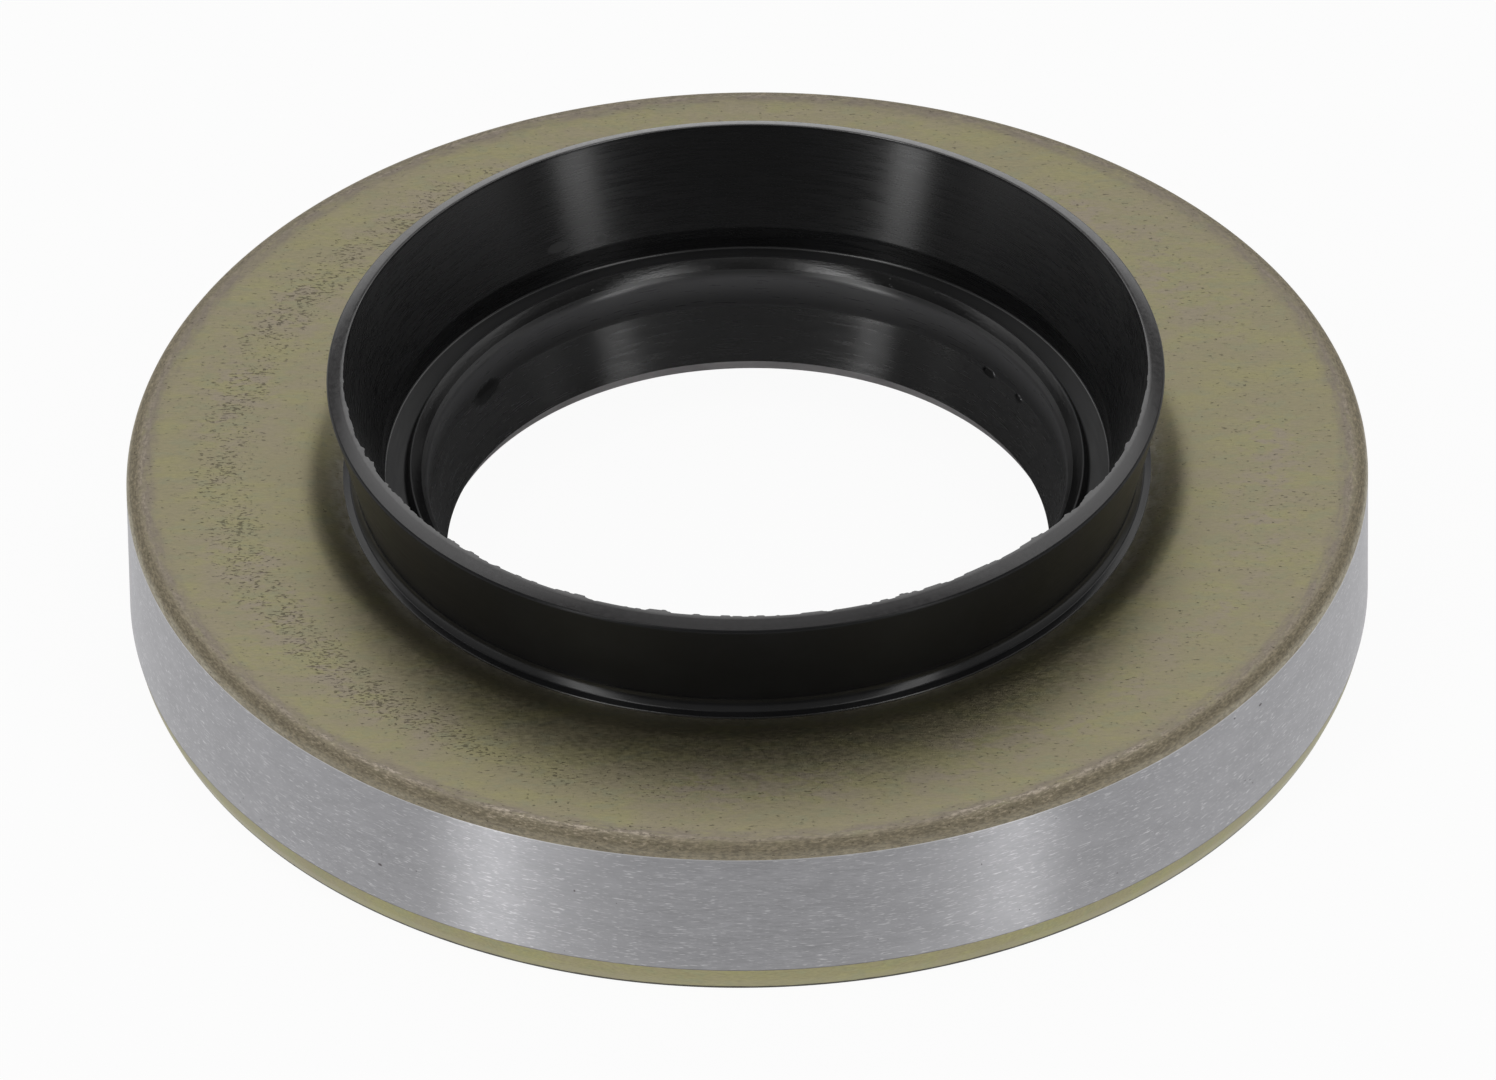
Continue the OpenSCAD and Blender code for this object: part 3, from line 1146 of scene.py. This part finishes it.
    def _rim_wander(self, r: float, z: float, angle: float) -> tuple[float, float]:
        """Leaves flash, in flat steps, on the front of the rim's inner edge. The back stays even.

        Args:
            r: Radius of a point of the outline, in millimetres.
            z: Its height.
            angle: Its azimuth in radians.

        Returns:
            The shift in r and z, in millimetres.
        """
        if math.hypot(r - self.rim_r, z - self.total_h) > self.flash_reach * 0.35:
            return 0.0, 0.0
        at = Vector((math.cos(angle), math.sin(angle), 0.0)) * self.rim_r
        wave = noise.noise(at * 0.16 + Vector((3.0, 0, 0)))
        long_step = noise.noise(at * 0.42 + Vector((0, 5.0, 0)))
        short_step = noise.noise(at * 1.05 + Vector((0, 0, 8.0)))
        nick = noise.noise(at * 2.1 + Vector((0, 0, 15.0)))

        def step(value: float, limit: float) -> float:
            """Rises from 0 to 1 as the value passes the limit."""
            return max(0.0, min(1.0, (value - limit) / 0.05))

        flash = (self.flash_w + self.flash_w * wave + self.long_step_w * step(long_step, 0.15)
                 + self.short_step_w * step(short_step, 0.20) - self.tear_w * step(-short_step, 0.30)
                 + self.nick_w * step(nick, 0.22))
        front = max(0.0, min(1.0, (0.1 - math.sin(angle)) / 0.4))
        return -flash * front - self.even_w * (1 - front), self.trim_wave * wave - self.trim_depth

    def build(self) -> bpy.types.Object:
        """Makes the rubber and dresses it.

        Returns:
            The finished piece.
        """
        finishes = {Skin.MOULDED: MOULDED_SKIN, Skin.OUTSIDE: OUTSIDE_SKIN, Skin.FUNNEL: FUNNEL_SKIN,
                    Skin.LAND: LAND_SKIN, Skin.FOOT: FOOT_SKIN, Skin.CREST: CrestRubber(),
                    Skin.TRIMMED: RIM_CUT, Skin.BEVEL: LIP_CUT_SHEEN}
        piece = revolve("rubber_moulding", self.outline(), self.segments, list(finishes),
                        self.rim_finer, self._near_edge, self._rim_wander)
        for finish in finishes.values():
            piece.data.materials.append(finish.material())
        stand_in(piece, "rubber_element")
        return piece


@dataclass
class GarterSpring:
    """Coiled wire joined into a ring. Sizes in millimetres."""

    ring_r: float
    middle_z: float
    coil_r: float = 1.1
    wire_r: float = 0.225
    turns: int = 200
    steps: int = 16
    sides: int = 8

    def _sizes(self) -> dict[str, float]:
        """Names the inputs of the tree: two counts, and lengths in metres.

        Returns:
            The value of each input.
        """
        return {"Turns": self.turns, "Steps": self.steps, "Ring radius": self.ring_r * MM,
                "Coil radius": (self.coil_r - self.wire_r) * MM, "Wire radius": self.wire_r * MM,
                "Height": self.middle_z * MM}

    def _tree(self, material: bpy.types.Material) -> bpy.types.NodeTree:
        """Builds the tree that winds the wire.

        Args:
            material: Finish of the wire.

        Returns:
            A geometry node tree with the sizes as its named inputs.
        """
        tree = bpy.data.node_groups.new("wound_wire", "GeometryNodeTree")
        for way in ("INPUT", "OUTPUT"):
            tree.interface.new_socket("Geometry", in_out=way, socket_type="NodeSocketGeometry")
        for label, value in self._sizes().items():
            kind = "NodeSocketInt" if isinstance(value, int) else "NodeSocketFloat"
            tree.interface.new_socket(label, in_out="INPUT", socket_type=kind)
        n = NodeSheet(tree)
        given = n.add("NodeGroupInput").outputs
        count = n.product(given["Turns"], given["Steps"])
        turned = n.product(n.add("GeometryNodeInputIndex").outputs[0], 2 * math.pi)
        ring_angle = n.math("DIVIDE", turned, count)
        coil_angle = n.math("DIVIDE", turned, given["Steps"])
        reach = n.product(given["Coil radius"], n.math("COSINE", coil_angle))
        out = n.math("ADD", given["Ring radius"], reach)
        rise = n.product(given["Coil radius"], n.math("SINE", coil_angle))
        place = n.add("ShaderNodeCombineXYZ", {
            0: n.product(out, n.math("COSINE", ring_angle)),
            1: n.product(out, n.math("SINE", ring_angle)),
            2: n.math("ADD", given["Height"], rise)}).outputs[0]
        line = n.add("GeometryNodeMeshLine", {"Count": count}).outputs[0]
        wound = n.add("GeometryNodeSetPosition", {"Geometry": line, "Position": place}).outputs[0]
        curve = n.add("GeometryNodeMeshToCurve", {0: wound}).outputs[0]
        closed = n.add("GeometryNodeSetSplineCyclic", {"Geometry": curve, "Cyclic": True}).outputs[0]
        ring = n.add("GeometryNodeCurvePrimitiveCircle",
                     {"Resolution": self.sides, "Radius": given["Wire radius"]}).outputs[0]
        wire = n.add("GeometryNodeCurveToMesh", {"Curve": closed, "Profile Curve": ring}).outputs[0]
        smooth = n.add("GeometryNodeSetShadeSmooth", {"Geometry": wire}).outputs[0]
        real = n.add("GeometryNodeRealizeInstances", {0: smooth}).outputs[0]
        dressed = n.add("GeometryNodeSetMaterial", {"Geometry": real, "Material": material}).outputs[0]
        n.add("NodeGroupOutput", {0: dressed})
        return tree

    def build(self, wire: SpringWire) -> bpy.types.Object:
        """Winds the spring and dresses it.

        Args:
            wire: Finish of the wire.

        Returns:
            The finished piece.
        """
        tree = self._tree(wire.material())
        former = put("spring_former", bpy.data.meshes.new("spring_former"))
        modifier = former.modifiers.new("winding", "NODES")
        modifier.node_group = tree
        sizes = self._sizes()
        for item in tree.interface.items_tree:
            if item.name in sizes:
                modifier[item.identifier] = sizes[item.name]
        depsgraph = bpy.context.evaluated_depsgraph_get()
        mesh = bpy.data.meshes.new_from_object(former.evaluated_get(depsgraph), depsgraph=depsgraph)
        former.modifiers.clear()
        bpy.data.objects.remove(former)
        mesh.name = "wound_spring"
        piece = put("wound_spring", mesh)
        stand_in(piece, "garter_spring")
        return piece


@dataclass(frozen=True)
class Softbox:
    """A rectangular lamp that looks at the seal.

    Args:
        name: Name of the lamp.
        azimuth_deg: Direction from the camera side, positive to the right.
        elevation_deg: Height above the horizon.
        distance: Distance from the seal, in metres.
        width: Width of the lamp, in metres.
        height: Height of the lamp, in metres.
        radiance: Brightness of its face, where 1 is white.
    """

    name: str
    azimuth_deg: float
    elevation_deg: float
    distance: float
    width: float
    height: float
    radiance: float

    def place(self) -> bpy.types.Object:
        """Adds the lamp to the scene.

        Returns:
            The lamp.
        """
        lamp = bpy.data.lights.new(self.name, "AREA")
        lamp.shape = "RECTANGLE"
        lamp.size = self.width
        lamp.size_y = self.height
        lamp.energy = self.radiance * math.pi * self.width * self.height
        piece = put(self.name, lamp)
        azimuth = math.radians(self.azimuth_deg)
        elevation = math.radians(self.elevation_deg)
        direction = Vector((math.sin(azimuth) * math.cos(elevation),
                            -math.cos(azimuth) * math.cos(elevation), math.sin(elevation)))
        piece.location = direction * self.distance
        piece.rotation_euler = direction.to_track_quat("Z", "Y").to_euler()
        return piece


@dataclass
class Studio:
    """Pale floor, white background, soft lamps and the camera."""

    floor_size: float = 6.0
    floor_drop: float = 0.00002
    camera_lens: float = 646.8
    sensor_width: float = 36.0
    camera_distance: float = 1.605
    elevation_deg: float = 37.993
    roll_deg: float = -0.893
    target: Place = (-0.00001, 0.0, 0.00499)
    fill: float = 0.15
    background: float = 1.0
    room_low: float = 0.04
    room_high: float = 0.14
    zenith: float = 0.38
    sides: float = 0.45
    front: float = 0.32
    backdrop_low: float = 0.20
    cove: float = 1.0
    floor_colour: float = 0.85
    floor_glow: float = 0.95
    painted_shadow_glow: float = 0.05
    painted_shadow_r: float = 0.0300

    lamps: tuple[Softbox, ...] = (
        Softbox("back_high", 180, 47, 2.0, 2.4, 1.07, 0.66),
        Softbox("overhead", 180, 77, 2.0, 2.4, 1.00, 0.12),
        Softbox("strip_left", -45.5, 36, 2.0, 0.36, 2.70, 3.7),
        Softbox("strip_right", 45.5, 36, 2.0, 0.38, 2.70, 2.8),
    )

    def _reflected_room(self, n: NodeSheet) -> Socket:
        """Returns the room's brightness as glossy rays meet it.

        High behind the seal stands a white backdrop. A pale cove runs along the floor
        behind and beside it, the walls on both sides, the upper front and the ceiling are
        grey, and the rest of the room is dark.

        Args:
            n: The world's nodes.

        Returns:
            The brightness.
        """
        toward = n.add("ShaderNodeTexCoord").outputs["Generated"]
        x, y, z = n.add("ShaderNodeSeparateXYZ", {0: toward}).outputs
        aside = n.math("ABSOLUTE", x)
        room = n.most(n.ramp(z, 0.45, 0.90, self.room_low, self.room_high),
                      n.ramp(z, 0.945, 0.990, 0.0, self.zenith))
        front = n.product(n.ramp(y, -0.30, -0.60, 0.0, self.front), n.ramp(z, 0.34, 0.48))
        walls = n.product(n.ramp(aside, 0.68, 0.84, 0.0, self.sides), n.ramp(z, 0.05, 0.30))
        cove = n.product(n.ramp(z, 0.12, 0.30, self.cove, 0.0), n.ramp(y, -0.62, -0.28))
        behind = n.product(n.ramp(y, 0.05, 0.25), n.ramp(aside, 0.62, 0.74, 1.0, 0.0))
        backdrop = n.product(n.ramp(z, 0.45, 0.60, self.backdrop_low, self.background), behind)
        return n.most(room, front, walls, cove, backdrop)

    def _world(self) -> None:
        """Sets a white background, the reflected room and a weaker fill light."""
        world = bpy.data.worlds.new("studio")
        world.use_nodes = True
        bpy.context.scene.world = world
        n = NodeSheet(world.node_tree)

        def glow(strength: object) -> Socket:
            """Adds a white background."""
            return n.add("ShaderNodeBackground", {"Color": (1, 1, 1, 1), "Strength": strength}).outputs[0]

        shader = n.by_ray(glow(self.fill), glow(self._reflected_room(n)), glow(self.background))
        n.add("ShaderNodeOutputWorld", {0: shader})

    def _floor(self) -> None:
        """Adds the pale floor, which looks white to the camera and keeps a faint shadow."""
        half = self.floor_size / 2
        mesh = bpy.data.meshes.new("floor")
        z = -self.floor_drop
        mesh.from_pydata([(-half, -half, z), (half, -half, z), (half, half, z), (-half, half, z)],
                         [], [(0, 1, 2, 3)])
        mesh.materials.append(self._floor_finish())
        put("floor", mesh)

    def _floor_finish(self) -> bpy.types.Material:
        """Lit floor, white where it is seen or mirrored, with a painted shadow under the seal that only
        glossy rays meet.

        Returns:
            The material.
        """
        material = bpy.data.materials.new("pale_floor")
        material.use_nodes = True
        n = NodeSheet(material.node_tree)

        def plain(value: float) -> Socket:
            """Adds a grey surface."""
            return n.add("ShaderNodeBsdfDiffuse", {"Color": (value, value, value, 1)}).outputs[0]

        def glow(strength: object) -> Socket:
            """Adds a white glow."""
            return n.add("ShaderNodeEmission", {"Strength": strength}).outputs[0]

        place = n.add("ShaderNodeTexCoord").outputs["Object"]
        reach = n.add("ShaderNodeVectorMath", {0: place}, operation="LENGTH").outputs["Value"]
        # Painted shadow: glossy rays see the floor dark within a radius round the seal's footprint.
        mirrored = n.ramp(reach, self.painted_shadow_r, self.painted_shadow_r + MM, self.painted_shadow_glow,
                          self.floor_glow, smooth=False)
        seen = n.add("ShaderNodeAddShader", {0: plain(1 - self.floor_glow), 1: glow(self.floor_glow)})
        shader = n.by_ray(plain(self.floor_colour), glow(mirrored), seen.outputs[0])
        n.add("ShaderNodeOutputMaterial", {"Surface": shader})
        return material

    def _camera(self) -> None:
        """Sets the camera at the photograph's viewing angle."""
        lens = bpy.data.cameras.new("camera")
        lens.lens = self.camera_lens
        lens.sensor_width = self.sensor_width
        lens.clip_end = 20.0
        camera = put("camera", lens)
        elevation = math.radians(self.elevation_deg)
        backwards = Vector((0, -math.cos(elevation), math.sin(elevation)))
        turn = backwards.to_track_quat("Z", "Y").to_matrix().to_4x4()
        roll = Matrix.Rotation(math.radians(self.roll_deg), 4, "Z")
        place = Matrix.Translation(Vector(self.target) + backwards * self.camera_distance)
        camera.matrix_world = place @ turn @ roll
        bpy.context.scene.camera = camera

    def build(self) -> None:
        """Sets the whole stage."""
        self._camera()
        self._world()
        self._floor()
        for lamp in self.lamps:
            lamp.place()
        bpy.context.scene.view_settings.view_transform = "Standard"


def main() -> None:
    """Builds the stage and the three pieces of the seal."""
    logging.basicConfig(level=logging.INFO, format="%(name)s: %(message)s")
    Studio().build()
    case_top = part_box("outer_case")[1]
    rubber_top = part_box("rubber_element")[1]
    case = SteelCase(case_r=round(case_top[0] / MM, 2), height=round(case_top[2] / MM, 2))
    case.build(OliveCoat(), GroundSteel())
    rubber = RubberElement(case=case, total_h=round(rubber_top[2] / MM, 1))
    rubber.build()
    GarterSpring(ring_r=rubber.spring_ring_r, middle_z=rubber.spring_z).build(SpringWire())


if __name__ == "__main__":
    main()
